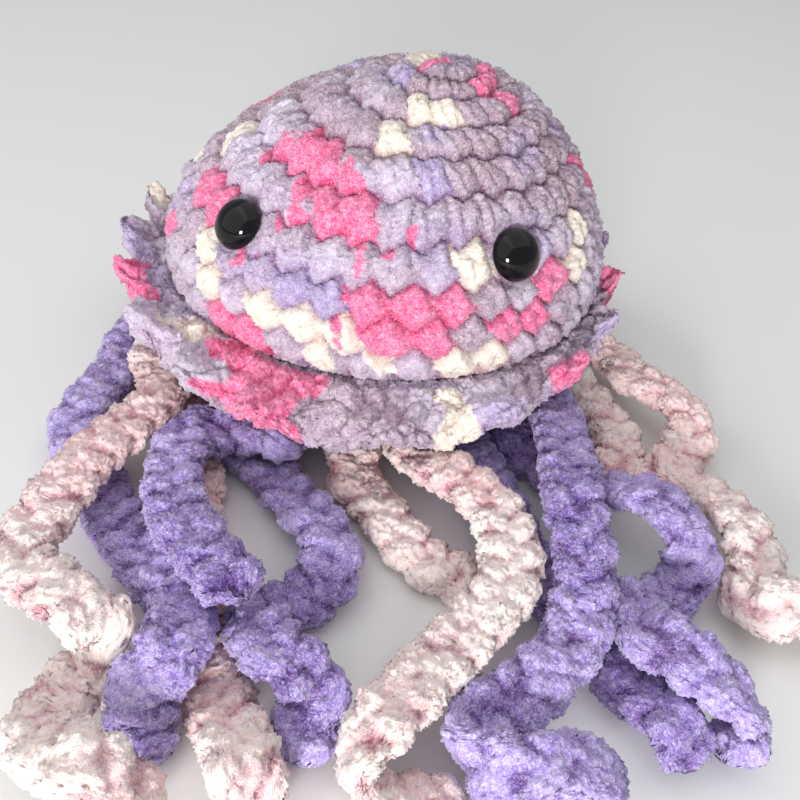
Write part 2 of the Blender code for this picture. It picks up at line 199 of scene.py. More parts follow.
def spinRound(bm, geom, steps):
    bmesh.ops.spin(
        bm, geom=geom, axis=(0, 0, 1), cent=(0, 0, 0), angle=2 * math.pi, steps=steps, use_merge=True
    )


def fraction(values):
    return values - np.floor(values)


def wrapped(degrees):  # the same angle, from -180 to 180
    return (degrees + 180) % 360 - 180


def smoothStep(low, high, values):
    share = np.clip((values - low) / (high - low), 0, 1)
    return share * share * (3 - 2 * share)


def blend(first, second, share):
    return first + (second - first) * np.asarray(share)[..., None]


# How much painted shade deepens the yarn's colour in creases, how much a painted highlight pales it at the
# tips, and the painted shadow's tint
paintedShadeAndHighlight = {"crease": 0.3, "tips": 0.15, "shadow": np.array((0.62, 0.50, 0.60))}


# Splits each of the faces around a middle point; those points become the pile's tips, which get a painted
# highlight
def splitForPile(bm, faces):
    before = set(bm.verts)
    bmesh.ops.poke(bm, faces=faces, offset=0, center_mode="MEAN")
    return np.array([vert not in before for vert in bm.verts])


def growPile(bm, isTip, look, seed):  # gives back how far each place stands out in its tuft, -1 to 1
    dice = np.random.default_rng(seed)
    verts = list(bm.verts)
    places = placesOf(verts)
    normals = normalsOf(bm, verts)
    count = len(verts)
    tuft = softNoise(places, look["tuftSize"], seed + 1000)
    length = look["pile"] * np.where(isTip, dice.uniform(-0.1, 1.2, count), dice.uniform(-0.5, 0.5, count))
    lengthways = normals * (length + look["tuftDepth"] * tuft)[:, None]
    sideways = dice.normal(0, look["pileSpread"], (count, 3))
    moveTo(verts, places + lengthways + sideways)
    return tuft


# Painted light and shade: a painted highlight on the tips, painted shade in the gaps between them, and
# deeper painted shade still in the creases
def shadeYarn(colours, isTip, height, tuft, seed):
    dice = np.random.default_rng(seed)
    crease = smoothStep(0, 0.6, height)
    tipHighlight = np.where(isTip, 1, -1) + dice.normal(0, 1, len(isTip)) + tuft
    depth = 1 + paintedShadeAndHighlight["crease"] * (1 - crease) - paintedShadeAndHighlight["tips"] * tipHighlight
    shaded = colours ** depth[:, None]
    return np.clip(blend(shaded * paintedShadeAndHighlight["shadow"], shaded, crease), 0, 1)


# Stores the colours, with their painted shade and highlights, in the piece's yarn attribute
def paintYarnAndShade(bm, colours):
    layer = bm.verts.layers.float_color.new("yarnAndPaintedShade")
    for vert, colour in zip(bm.verts, colours):
        vert[layer] = (*colour, 1)


def finishPiece(name, bm, node, material):
    data = bpy.data.meshes.new(name)
    bm.to_mesh(data)
    bm.free()
    data.shade_smooth()
    data.materials.append(material)
    piece = bpy.data.objects.new(name, data)
    bpy.context.scene.collection.objects.link(piece)
    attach(piece, "root")
    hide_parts(node)
    print(name, len(data.polygons), "faces")
    return piece


# The head, leaning more towards its top
head = {
    "radius": 70 * mm,
    "crownHeight": 57.8 * mm,
    "crownPower": 1.67,
    "widestZ": 40 * mm,
    "brimDrop": 8 * mm,
    "brimTuck": 2 * mm,
    "lean": 14.4 * mm,
    "wall": 5.4 * mm,
    "stitches": (36, 36, 36, 36, 36, 30, 24, 18, 12, 6),
    "edges": (0, 0.09, 0.18, 0.27, 0.38, 0.5, 0.62, 0.73, 0.83, 0.91, 1),
    "slant": (0.25, 0.35, 0.45, 0.55, 0.65, 0.75, 0.8, 0.8, 0.6, 0.4),
    "zigzag": (0.2, 0.24, 0.26, 0.22, 0.15, 0.12, 0.12, 0.1, 0.1, 0.05),
    "relief": 4.4 * mm,
    "level": 0.72,
    "lumps": 0.35 * mm,
    "pile": 0.45 * mm,
    "pileSpread": 0.15 * mm,
    "tuftSize": 1.2 * mm,
    "tuftDepth": 0.2 * mm,
    "detail": 7,
    "cutAngle": 112,
    "eyeAzimuths": {"left": -43, "right": 36.2},
    "eyeHeights": {"left": 22.5 * mm, "right": 24.3 * mm},
    "eyeRadius": 7.5 * mm,
    "eyeDip": 1.6 * mm,
    "eyeDipEdge": 4 * mm,
    "backFrom": 98,
    "spotHeight": 0.38,
}
lastRound = len(head["stitches"]) - 1

# Runs of the variegated yarn: round, from and to in degrees around from the front, colour
headRuns = (
    (1, 2, 18, "hotPink"), (2, -3, 23, "hotPink"),
    (1, -28, -3, "cream"), (0, -43, -28, "hotPink"), (2, -22, -8, "violet"),
    (5, -44, -28, "hotPink"), (4, -22, -8, "hotPink"), (3, -67, -53, "hotPink"), (1, -77, -73, "hotPink"),
    (2, -52, -48, "cream"), (1, -47, -43, "cream"), (3, 23, 27, "cream"), (2, 57, 63, "cream"),
    (3, 62, 68, "cream"),
    (1, 33, 47, "hotPink"), (2, 48, 53, "hotPink"), (4, 88, 92, "hotPink"), (3, 93, 97, "hotPink"),
    (0, 19, 31, "cream"), (6, -16, -14, "cream"), (7, -12, 12, "cream"),
    (8, 58, 92, "hotPink"), (7, 68, 72, "hotPink"), (9, -155, -85, "hotPink"),
    (5, 5, 7, "violet"), (8, -61, -59, "violet"), (5, -80, -76, "paleLilac"), (4, -82, -78, "cream"),
)
# Single loops: round with its share, degrees, half width in degrees, colour
headSpots = (
    (2.7, -35.5, 2.4, "hotPink"), (1.7, -5, 1.2, "hotPink"), (3.7, -4, 1.4, "hotPink"),
    (4.05, 4.5, 1.6, "hotPink"),
    (4.1, -29, 2.4, "hotPink"), (4.8, -29, 3.5, "hotPink"), (5.15, -53, 5, "hotPink"),
    (5.2, -19, 4, "hotPink"),
    (0.7, -10, 3.5, "cream"), (0.85, 4, 3, "cream"), (6.75, 5.5, 4, "violet"),
)


def headOutline(inset):  # (radius, height) from the brim to the crown
    radius = head["radius"] - inset
    height = head["crownHeight"] - inset
    drop = np.linspace(-1, 0, 24)[:-1]
    angle = np.linspace(0, math.pi / 2, 240)
    power = 2 / head["crownPower"]
    radii = np.concatenate([radius - head["brimTuck"] * drop**2, radius * np.cos(angle) ** power])
    heights = np.concatenate([head["brimDrop"] * drop, height * np.sin(angle) ** power])
    return np.stack([radii, heights + head["widestZ"]], axis=1)


def alongOutline(outline, shares):  # points along it, for shares from 0 to 1
    lengths = np.linalg.norm(np.diff(outline, axis=0), axis=1)
    along = np.concatenate([[0], np.cumsum(lengths)])
    reached = np.asarray(shares) * along[-1]
    return np.stack([np.interp(reached, along, outline[:, k]) for k in (0, 1)], axis=-1)


def leanAt(height):
    return head["lean"] * (np.maximum(0, height - head["widestZ"]) / head["crownHeight"]) ** 2


def leaned(places):
    moved = places.copy()
    moved[:, 0] += leanAt(places[:, 2])
    return moved


# Stitches at a place on the head: the round it is in, the share up it, and the stitch with its share
def headStitches(azimuth, rounds, places):
    count = np.array(head["stitches"])
    slant = np.array(head["slant"])
    zigzag = np.array(head["zigzag"])
    rounds = rounds + 0.10 * softNoise(places, 20 * mm, 3)
    wander = 0.16 * softNoise(places, 16 * mm, 4)
    nearest = np.clip(np.round(rounds), 0, lastRound).astype(int)  # the closest edge between two rounds
    turn = azimuth / (2 * math.pi) * count[nearest] + 0.5 * nearest + wander
    tooth = 1 - 2 * np.abs(2 * fraction(turn) - 1)
    shifted = rounds - zigzag[nearest] * tooth
    row = np.clip(np.floor(shifted), 0, lastRound).astype(int)
    up = np.clip(shifted - row, 0, 1)
    phase = azimuth / (2 * math.pi) * count[row] + 0.5 * row + 0.5 + wander + slant[row] * (up - 0.35)
    return row, up, phase, count[row]


def headColours(row, up, phase, count, places):
    stitch = np.floor(phase)
    middle = wrapped((stitch - 0.5 * row) / count * 360)
    # The ground colour drifts slowly between lavender and grey-lilac; its greying towards the crown is
    # painted shade on the top
    drift = 0.5 * softNoise(places, 24 * mm, 51) + 0.35 * softNoise(places, 9 * mm, 52)
    greyAndCrownShade = smoothStep(-0.5, 0.6, drift + 0.16 * (row + up) - 0.5)
    colours = blend(yarns["lavender"], yarns["greyLilac"], greyAndCrownShade)
    pale = 0.6 * softNoise(places, 15 * mm, 53) + 0.3 * softNoise(places, 6 * mm, 54)
    colours = blend(colours, yarns["paleLilac"], 0.7 * smoothStep(0, 0.8, pale))
    colours = blend(colours, yarns["violet"], 0.5 * smoothStep(0.35, 1.1, softNoise(places, 14 * mm, 55)))
    for wantedRow, low, high, name in headRuns:
        chosen = (row == wantedRow) & (middle >= low) & (middle <= high)
        colours[chosen] = yarns[name]
    # The back, which the photo doesn't show, carries on with runs of its own
    for wantedRow in range(lastRound):
        for start in (115 + 23 * wantedRow % 60, 190 + 31 * wantedRow % 70):
            chosen = (row == wantedRow) & (np.abs(middle - wrapped(start)) < 9 + wantedRow % 3 * 5)
            chosen &= np.abs(middle) > head["backFrom"]
            colours[chosen] = yarns[("hotPink", "cream", "violet")[(wantedRow * 2 + start) % 3]]
    here = wrapped((phase - 0.5 - 0.5 * row) / count * 360)
    for wanted, degrees, halfWidth, name in headSpots:
        near = np.hypot((here - degrees) / halfWidth, (row + up - wanted) / head["spotHeight"])
        colours[near < 1] = yarns[name]
    return colours


def eyeSeat(side):  # +Z points out of the head
    outline = headOutline(0)
    k = int(np.argmin(np.abs(outline[:, 1] - head["widestZ"] - head["eyeHeights"][side])))
    around = Matrix.Rotation(math.radians(head["eyeAzimuths"][side]), 3, "Z")
    nearby = outline[k - 1 : k + 2]
    places = [around @ Vector((0, -radius, z)) + Vector((leanAt(z), 0, 0)) for radius, z in nearby]
    sideways = around @ Vector((1, 0, 0))
    outward = sideways.cross(places[2] - places[0]).normalized()
    facing = Matrix((sideways, outward.cross(sideways), outward)).transposed()
    return Matrix.Translation(places[1]) @ facing.to_4x4()


def makeHead():
    bm = bmesh.new()
    bmesh.ops.create_icosphere(bm, subdivisions=head["detail"], radius=1)
    low = math.cos(math.radians(head["cutAngle"]))
    bmesh.ops.bisect_plane(
        bm, geom=bm.verts[:] + bm.edges[:] + bm.faces[:], plane_co=(0, 0, low), plane_no=(0, 0, -1),
        clear_outer=True,
    )
    isTip = splitForPile(bm, bm.faces[:])
    verts = list(bm.verts)
    sphere = placesOf(verts)
    polar = np.arctan2(np.hypot(sphere[:, 0], sphere[:, 1]), sphere[:, 2])
    azimuth = np.arctan2(sphere[:, 0], -sphere[:, 1])
    share = 1 - polar / math.radians(head["cutAngle"])
    outline = headOutline(0)
    profile = alongOutline(outline, share)
    flat = atBearing(azimuth, profile[:, 0], profile[:, 1])
    moveTo(verts, leaned(flat))
    normals = normalsOf(bm, verts)

    rounds = np.interp(share, head["edges"], range(lastRound + 2))
    row, up, phase, count = headStitches(azimuth, rounds, flat)
    leg = dome(fraction(2 * phase), 2.2)
    whole = dome(fraction(phase), 4)
    puff = dome(up, 2.2) ** 0.8
    crown = np.where(row == lastRound, 0.5, 1)  # the last round is small, so it stands out less
    height = puff * (0.42 + 0.30 * leg + 0.28 * whole)
    relief = head["relief"] * (height - head["level"]) * crown
    relief += head["lumps"] * (softNoise(flat, 5 * mm, 7) + 0.7 * softNoise(flat, 2.4 * mm, 8))
    places = leaned(flat)
    for side in head["eyeAzimuths"]:
        seat = eyeSeat(side)
        away = np.linalg.norm(places - np.array(seat.translation), axis=1)
        dip = 1 - smoothStep(head["eyeRadius"], head["eyeRadius"] + head["eyeDipEdge"], away)
        relief = relief * (1 - dip) - head["eyeDip"] * dip
    relief *= smoothStep(0, 0.02, share)
    moveTo(verts, places + normals * relief[:, None])
    colours = headColours(row, up, phase, count, flat)
    tuft = growPile(bm, isTip, head, 21)
    paintYarnAndShade(bm, shadeYarn(colours, isTip, height, tuft, 22))

    # The inside of the cloth, down from the brim's edge
    inner = alongOutline(headOutline(head["wall"]), np.linspace(0, 0.98, 9))
    rim = [edge for edge in bm.edges if edge.is_boundary]
    for radius, height in inner:
        made = bmesh.ops.extrude_edge_only(bm, edges=rim)["geom"]
        rim = [item for item in made if isinstance(item, bmesh.types.BMEdge) and item.is_boundary]
        for vert in (item for item in made if isinstance(item, bmesh.types.BMVert)):
            bearing = math.atan2(vert.co.x, -vert.co.y)
            vert.co = (radius * math.sin(bearing) + leanAt(height), -radius * math.cos(bearing), height)
    bmesh.ops.contextual_create(bm, geom=rim)
    return bm


headPiece = finishPiece("fuzzy_head", makeHead(), "head_cover", chenille("head_chenille"))

# The frill, turning up at both sides
frill = {
    "lobes": (-161, -141, -120, -101, -84, -68, -51, -32, -17, 4, 29, 49, 66, 84, 104, 124, 144, 163, 181),
    "innerRadius": 67.1 * mm,
    "innerZ": 27.1 * mm,
    "width": 23.5 * mm,
    "droop": 0.5 * mm,
    "sideRise": 9 * mm,
    "sideTuck": 12 * mm,
    "skew": 4 * mm,
    "wave": 5 * mm,
    "spread": 3.2 * mm,
    "growth": 2.4,
    "thickness": 8 * mm,
    "rimShare": 0.18,
    "rows": 2.3,
    "steps": 600,
    "around": 60,
    "stitches": 54,
    "relief": 2.6 * mm,
    "lumps": 0.7 * mm,
    "pile": 0.5 * mm,
    "pileSpread": 0.2 * mm,
    "tuftSize": 1.4 * mm,
    "tuftDepth": 0.35 * mm,
}
# From and to in degrees around, from and to in share of the width, colour
frillRuns = (
    (-72, -58, 0.55, 1.1, "hotPink"), (-38, -27, 0.0, 0.45, "hotPink"), (-27, -10, 0.1, 1.1, "hotPink"),
    (-50, -40, 0.1, 0.6, "cream"), (15, 20, 0.3, 1.1, "cream"), (43, 52, 0.5, 1.1, "hotPink"),
    (78, 88, 0.5, 1.1, "hotPink"), (118, 130, 0.4, 1.1, "hotPink"), (150, 162, 0.0, 0.7, "cream"),
    (-112, -100, 0.3, 1.1, "cream"), (-150, -138, 0.2, 1.1, "hotPink"), (-176, -168, 0.0, 1.1, "violet"),
)


def makeFrill():
    bm = bmesh.new()
    ring = bmesh.ops.create_circle(bm, segments=frill["around"], radius=0.25)["verts"]
    turned = Matrix.Translation((0, -1, 0)) @ Matrix.Rotation(math.pi / 2, 4, "Y")
    bmesh.ops.transform(bm, matrix=turned, verts=ring)
    spinRound(bm, bm.verts[:] + bm.edges[:], frill["steps"])
    bmesh.ops.recalc_face_normals(bm, faces=bm.faces)
    isTip = splitForPile(bm, bm.faces[:])
    verts = list(bm.verts)
    torus = placesOf(verts)
    azimuth = np.arctan2(torus[:, 0], -torus[:, 1])
    degrees = np.degrees(azimuth)
    # 0 at the rim, and positive on the upper side
    section = np.arctan2(torus[:, 2], np.hypot(torus[:, 0], torus[:, 1]) - 1) / math.pi

    lobes = np.array(frill["lobes"], float)
    lobes = np.concatenate([lobes - 360, lobes, lobes + 360])
    k = np.searchsorted(lobes, degrees, side="right") - 1
    wave = np.cos(2 * math.pi * (degrees - lobes[k]) / (lobes[k + 1] - lobes[k]))
    aside = np.sin(azimuth) ** 2
    width = frill["width"] + frill["spread"] * wave
    width -= frill["sideTuck"] * aside + frill["skew"] * np.sin(azimuth)
    # A slab with a round rim: the place around it gives how far out, and which side of the middle
    bow = np.linspace(0, math.pi / 2, 12)
    rim = np.stack([1 + frill["rimShare"] * (np.cos(bow) - 1), np.sin(bow)], axis=1)
    slab = np.concatenate([rim, [(0.0, 1.0), (0.0, 0.0)]])
    steps = np.linalg.norm(np.diff(slab, axis=0) * (frill["width"], frill["thickness"] / 2), axis=1)
    reached = np.concatenate([[0], np.cumsum(steps)]) / steps.sum()
    out = np.interp(np.abs(section), reached, slab[:, 0])
    rise = np.sign(section) * np.interp(np.abs(section), reached, slab[:, 1])
    lift = (frill["wave"] * wave + frill["sideRise"] * aside) * out ** frill["growth"] - frill["droop"] * out
    radius = frill["innerRadius"] + width * out
    height = frill["innerZ"] + lift + frill["thickness"] / 2 * rise * np.where(rise < 0, 0.95, 1)
    places = atBearing(azimuth, radius, height)
    moveTo(verts, places)
    normals = normalsOf(bm, verts)

    turn = azimuth / (2 * math.pi) * frill["stitches"] + 0.35 * softNoise(places, 14 * mm, 11)
    tooth = 1 - 2 * np.abs(2 * fraction(turn) - 1)
    rounds = frill["rows"] * out - 0.2 + 0.15 * softNoise(places, 12 * mm, 12) - 0.15 * tooth
    phase = turn + 0.5 * np.floor(rounds) + 0.4 * fraction(rounds) * np.where(rise > 0, 1, -1)
    stitch = dome(fraction(phase), 2.2) ** 0.7 * dome(fraction(rounds), 2.2) ** 0.7
    reach = smoothStep(0.05, 0.3, out)
    relief = frill["relief"] * (stitch - 0.6) * reach
    lumps = softNoise(places, 6 * mm, 13) + 0.5 * softNoise(places, 2.6 * mm, 14)
    relief += frill["lumps"] * reach * lumps
    moveTo(verts, places + normals * relief[:, None])

    slow = softNoise(places, 26 * mm, 16)
    colours = blend(yarns["lavender"], yarns["greyLilac"], 0.5 * smoothStep(-0.4, 0.5, slow))
    colours = blend(colours, yarns["paleLilac"], smoothStep(-0.1, 0.8, softNoise(places, 18 * mm, 17)) * 0.8)
    colours = blend(colours, yarns["violet"], smoothStep(0.2, 0.8, softNoise(places, 20 * mm, 18)) * 0.7)
    wander = 2.5 * softNoise(places, 8 * mm, 15)
    for low, high, near, far, name in frillRuns:
        chosen = (degrees + wander > low) & (degrees + wander < high) & (out > near) & (out < far)
        colours[chosen] = yarns[name]
    tuft = growPile(bm, isTip, frill, 23)
    paintYarnAndShade(bm, shadeYarn(colours, isTip, stitch + 0.2, tuft, 24))
    return bm


finishPiece("wavy_frill", makeFrill(), "frill", chenille("frill_chenille"))

# The tentacles are one ribbon shape along routes of their own
ribbon = {
    "width": 14.4 * mm,
    "thickness": 7 * mm,
    "rounding": 0.75,
    "coarse": 9.5 * mm,
    "fine": 0.85 * mm,
    "around": 48,
    "rootTaper": 0.72,
    "tipTaper": 0.7,
    "taperLength": 16 * mm,
    "turningRadius": 12 * mm,
    "flatness": 0.35,
    "spanPoints": 12,
    "smoothings": 10,
    "waySmoothings": 2,
    "rootRound": 2.5 * mm,
    "tipRound": 5 * mm,
    "grooveWidth": 2 * mm,
    "floorGap": 0.4 * mm,
    "stitch": 9 * mm,
    "crease": 1.1 * mm,
    "groove": 0.7 * mm,
    "scallop": 1.0 * mm,
    "lumps": 0.4 * mm,
    "pile": 0.5 * mm,
    "pileSpread": 0.2 * mm,
    "tuftSize": 1.3 * mm,
    "tuftDepth": 0.35 * mm,
}
# The ribbon's middle in mm, from under the frill to the tip
pinkRoutes = {
    "pink_tentacle_1": (
        (-57.9, -21.1, 9), (-68, -41, 13), (-58, -63, 14), (-68, -94, 18), (-72, -118, 18), (-72, -133, 18),
        (-57, -144, 20), (-48, -147, 15), (-50, -151, 8), (-54, -159, 6), (-54, -172, 12), (-40, -181, 20),
        (-31, -183, 13), (-33, -187, 6),
    ),
    "pink_tentacle_2": (
        (-46.4, -36.2, 8), (-57, -56, 4.5), (-46, -78, 4.5), (-41, -102, 4.5), (-35, -125, 4.5),
        (-29, -141, 4.5), (-22, -155, 4.7), (-14, -170, 12.5), (-11, -176, 15), (-10, -179, 9),
        (-12, -184, 5),
    ),
    "pink_tentacle_3": (
        (-2.1, -59.4, 9), (0, -82, 4.5), (6, -88, 4.5), (18.5, -105, 4.5), (32, -113, 4.5), (41, -118, 4.5),
    ),
    "pink_tentacle_4": (
        (13.6, -58.7, 9), (15, -70, 11), (20, -80, 14.2), (31, -91, 17.5), (40, -105, 18.5), (42, -119, 17),
        (35, -133, 16), (24, -148, 15), (13, -163, 15), (10, -171, 10), (19, -175, 6), (34, -174, 5),
    ),
    "pink_tentacle_5": (
        (59.8, -14.9, 9), (74, -35, 4.5), (79, -48, 4.5), (78, -62, 4.5), (79, -74, 4.5),
    ),
    "pink_tentacle_6": (
        (62.2, 8.7, 9), (83, -15, 10), (84, -26, 13), (98, -38, 13), (101, -49, 11), (97, -57, 7),
        (92, -66, 7), (99, -74, 9), (107, -89, 12), (108, -102, 9), (104, -113, 8), (110, -118, 13),
        (126, -115, 8),
    ),
}
purpleRoutes = {
    "purple_tentacle_1": (
        (-60.5, -2.1, 9), (-80, -18, 5), (-79, -44, 5.5), (-82, -63, 8), (-80, -78, 8), (-72, -89, 5),
        (-60, -107, 7), (-46, -124, 13), (-34, -138, 14), (-32, -152, 18), (-36, -160, 13.5),
        (-36, -164, 6), (-35, -171, 5),
    ),
    "purple_tentacle_2": (
        (-35.4, -50.6, 9), (-33, -73, 4.5), (-28, -76, 4.5), (-18, -89, 6), (-7, -103, 9), (-2, -115, 10),
        (-6, -124, 6), (-14, -130, 5), (-17, -137, 10.3), (-11, -148, 16), (-5, -152, 16), (-1, -156, 10),
        (-4, -168, 6),
    ),
    "purple_tentacle_3": (
        (-19, -58.3, 9), (-21, -77, 15.7), (-23, -76, 16.2), (-36, -76, 15), (-46, -83, 17), (-46, -99, 18),
        (-39, -117, 20), (-28, -130, 21.5), (-19, -140, 22),
    ),
    "purple_tentacle_4": (
        (27.8, -52.3, 9), (35, -74, 5), (35, -67, 4.5), (42, -87, 4.5), (49, -105, 4.5), (60, -124, 4.5),
        (71, -143, 8), (78, -153, 12), (80, -160, 5),
    ),
    "purple_tentacle_5": (
        (41, -42.5, 8), (50, -62, 4.5), (54, -59, 4.5), (58, -71, 5), (68, -77, 8.5), (75, -85, 16),
        (82, -92, 20), (88, -103, 18), (88, -109, 9), (82, -113, 5), (75, -118, 9), (73, -132, 16),
        (79, -141, 20), (90, -147, 16), (94, -150, 10), (89, -156, 5),
    ),
    "purple_tentacle_6": (
        (55, -31.8, 10), (58, -54, 14.8), (58, -62, 16.3), (58, -81, 20), (57, -98, 23), (59, -111, 21),
        (59, -122, 19), (57, -133, 16), (49, -146, 15), (38, -156, 13), (32, -163, 11), (40, -171, 15),
        (53, -168, 16), (65, -168, 9),
    ),
}


def smoothRoute(route):
    points = np.array(route, float) * mm
    padded = np.concatenate([[2 * points[0] - points[1]], points, [2 * points[-1] - points[-2]]])
    line = []
    for before, start, end, after in zip(padded, padded[1:], padded[2:], padded[3:]):
        for t in np.linspace(0, 1, ribbon["spanPoints"], endpoint=False):
            square = (2 * before - 5 * start + 4 * end - after) * t**2
            cube = (3 * start - before - 3 * end + after) * t**3
            line.append(0.5 * (2 * start + (end - before) * t + square + cube))
    line = np.array(line + [points[-1]])
    for _ in range(ribbon["smoothings"]):
        line[1:-1] = (line[:-2] + 2 * line[1:-1] + line[2:]) / 4
    along = np.concatenate([[0], np.cumsum(np.linalg.norm(np.diff(line, axis=0), axis=1))])
    return line, along


def sampled(line, along, wanted):
    return np.stack([np.interp(wanted, along, line[:, k]) for k in range(3)], axis=1)


# The ribbon's thin way: it bends flatwise, and lies flat where it runs straight
def thinWays(line):
    ahead = np.gradient(line, axis=0)
    ahead /= np.linalg.norm(ahead, axis=1)[:, None]
    step = np.linalg.norm(line[1] - line[0])
    bend = np.gradient(ahead, axis=0) / step
    tensors = bend[:, :, None] * bend[:, None, :] * ribbon["turningRadius"] ** 2
    tensors += ribbon["flatness"] * np.outer((0, 0, 1), (0, 0, 1))
    for _ in range(ribbon["waySmoothings"]):
        padded = np.concatenate([tensors[:1], tensors, tensors[-1:]])
        tensors = (padded[:-2] + 2 * padded[1:-1] + padded[2:]) / 4
    ways = []
    for tangent, tensor in zip(ahead, tensors):
        across = np.eye(3) - np.outer(tangent, tangent)
        way = np.linalg.eigh(across @ tensor @ across)[1][:, 2]
        if ways and way @ ways[-1] < 0:
            way = -way
        ways.append(way)
    return np.array(ways)


def roundedEnd(share):  # a quarter circle's height, for shares from 0 to 1 along it
    return np.sqrt(np.clip(1 - (1 - np.clip(share, 0, 1)) ** 2, 0, 1))


def makeTentacle(route, light, deepYarnAndShade, seed):
    line, along = smoothRoute(route)
    total = along[-1]
    coarse = np.linspace(0, total, max(4, round(total / ribbon["coarse"]) + 1))
    ways = thinWays(sampled(line, along, coarse))

    rings = round(total / ribbon["fine"])
    bm = bmesh.new()
    bmesh.ops.create_cone(
        bm, cap_ends=True, segments=ribbon["around"], radius1=1, radius2=1, depth=1,
        matrix=Matrix.Translation((0, 0, 0.5)),
    )
    uprights = [edge for edge in bm.edges if abs(edge.verts[0].co.z - edge.verts[1].co.z) > 0.5]
    bmesh.ops.subdivide_edges(bm, edges=uprights, cuts=rings - 1, use_grid_fill=True)
    isTip = splitForPile(bm, [face for face in bm.faces if len(face.verts) == 4])
    verts = list(bm.verts)
    tube = placesOf(verts)
    s = np.clip(tube[:, 2], 0, 1) * total
    angle = np.arctan2(tube[:, 1], tube[:, 0])

    # Where the middle line and the thin way are at each point
    middle = sampled(line, along, s)
    ahead = sampled(line, along, np.minimum(s + 2 * mm, total))
    ahead -= sampled(line, along, np.maximum(s - 2 * mm, 0))
    ahead /= np.linalg.norm(ahead, axis=1)[:, None]
    way = sampled(ways, coarse, s)
    way -= ahead * np.sum(way * ahead, axis=1)[:, None]
    way /= np.linalg.norm(way, axis=1)[:, None]
    wide = np.cross(way, ahead)

    start = np.minimum(1, ribbon["rootTaper"] + s / ribbon["taperLength"])
    end = np.minimum(1, ribbon["tipTaper"] + (total - s) / ribbon["taperLength"])
    ends = roundedEnd(s / ribbon["rootRound"]) * roundedEnd((total - s) / ribbon["tipRound"])
    x = np.sign(np.cos(angle)) * np.abs(np.cos(angle)) ** ribbon["rounding"]
    y = np.sign(np.sin(angle)) * np.abs(np.sin(angle)) ** ribbon["rounding"]
    halfWidth = ribbon["width"] / 2 * start * end
    halfThick = ribbon["thickness"] / 2 * np.minimum(start, end) ** 0.5

    # Two rows of stitches side by side, with slanted creases and scalloped edges
    wander = 0.25 * softNoise(middle + wide * (x * halfWidth)[:, None], 12 * mm, seed)
    phase = s / ribbon["stitch"] + wander + 0.35 * np.abs(x) + 0.5 * (x > 0) + 0.25 * (y > 0)
    stitch = dome(fraction(phase), 2.2)
    groove = np.exp(-((x * halfWidth / ribbon["grooveWidth"]) ** 2)) * np.abs(y)
    groove *= 0.75 + 0.5 * softNoise(middle, 9 * mm, seed + 1)
    across = halfWidth * x + np.sign(x) * ribbon["scallop"] * (stitch - 0.6) * np.abs(x) ** 2
    upward = halfThick * y
    places = middle + wide * (across * ends)[:, None] + way * (upward * ends)[:, None]
    moveTo(verts, places)
    normals = normalsOf(bm, verts)
    relief = ribbon["crease"] * (stitch - 0.65) - ribbon["groove"] * groove
    lumps = softNoise(places, 6 * mm, seed + 2) + 0.6 * softNoise(places, 3 * mm, seed + 3)
    relief += ribbon["lumps"] * lumps
    places = places + normals * (relief * np.minimum(1, ends * 1.5))[:, None]
    moveTo(verts, places)

    # Painted shade: the deeper yarn colour fills the gaps between stitches, the groove and low lumps; slow
    # patches of it are the yarn's own colour
    depth = np.clip(0.3 + 0.5 * stitch - 0.2 * groove + 0.25 * lumps, 0.1, 1)
    drift = softNoise(middle, 24 * mm, seed + 4) + 0.4 * softNoise(places, 7 * mm, seed + 5)
    patch = smoothStep(-0.5, 0.9, drift)
    colours = blend(light, deepYarnAndShade, np.clip(0.6 * (1 - depth) + 0.6 * patch - 0.1, 0, 1))
    tuft = growPile(bm, isTip, ribbon, seed + 6)
    lifted = placesOf(verts)
    lifted[:, 2] = np.maximum(lifted[:, 2], ribbon["floorGap"] + 0.1 * (lifted[:, 2] - ribbon["floorGap"]))
    lifted[:, 2] = np.maximum(lifted[:, 2], 0.05 * mm)
    moveTo(verts, lifted)
    paintYarnAndShade(bm, shadeYarn(colours, isTip, depth, tuft, seed + 7))
    return bm


yarnPair = {"pink": (yarns["blush"], yarns["rose"]), "purple": (yarns["lightPurple"], yarns["purple"])}
seed = 100
for colour, routes in (("pink", pinkRoutes), ("purple", purpleRoutes)):
    for node, route in routes.items():
        seed += 10
        shape = makeTentacle(route, *yarnPair[colour], seed)
        finishPiece("curly_" + node, shape, node, chenille(node + "_chenille"))

# The underside and the filling
base = {
    "flatRadius": 36 * mm,
    "topZ": 31.6 * mm,
    "outerRadius": 66.6 * mm,
    "wall": 5 * mm,
    "steps": 200,
    "levels": 46,
    "rounds": 7,
    "relief": 1.6 * mm,
    "pile": 0.5 * mm,
    "pileSpread": 0.2 * mm,
    "tuftSize": 1.4 * mm,
    "tuftDepth": 0.3 * mm,
}


def baseOutline(inset, points):
    angle = np.linspace(0, math.pi / 2, points)
    radii = base["flatRadius"] + (base["outerRadius"] - base["flatRadius"] - inset) * np.sin(angle)
    heights = base["topZ"] - (base["topZ"] - inset) * np.cos(angle)
    return np.concatenate([[(0, inset)], np.stack([radii, heights], axis=1)])


